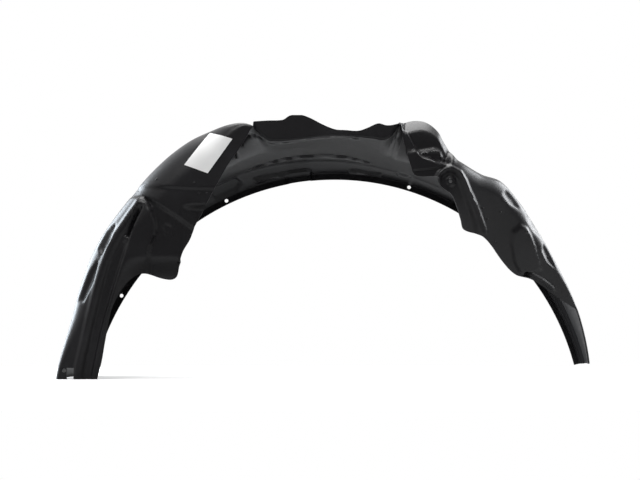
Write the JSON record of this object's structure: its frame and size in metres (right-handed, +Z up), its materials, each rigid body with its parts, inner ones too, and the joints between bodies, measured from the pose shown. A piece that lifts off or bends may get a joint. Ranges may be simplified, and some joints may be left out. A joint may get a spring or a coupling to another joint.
{
  "type": "splash shield",
  "caption": "Moulded wheel-arch splash shield: an arched roof with a rim flange and two cut-back inner walls, with a blank paper label.",
  "frame": {"origin": "middle of the overall box at the level of the left foot's lower end", "axes": "+X along the car from the left foot to the right one, +Y across the wheel from the inner wall to the rim, +Z up"},
  "size_m": [0.7265, 0.2617, 0.3342],
  "materials": {
    "black_plastic": "moulded black plastic with a fine grain and a soft sheen",
    "label_paper": "plain white self-adhesive paper, left blank"
  },
  "bodies": {
    "root": {"splash_shield": "black_plastic", "label": "label_paper"}
  },
  "joints": []
}
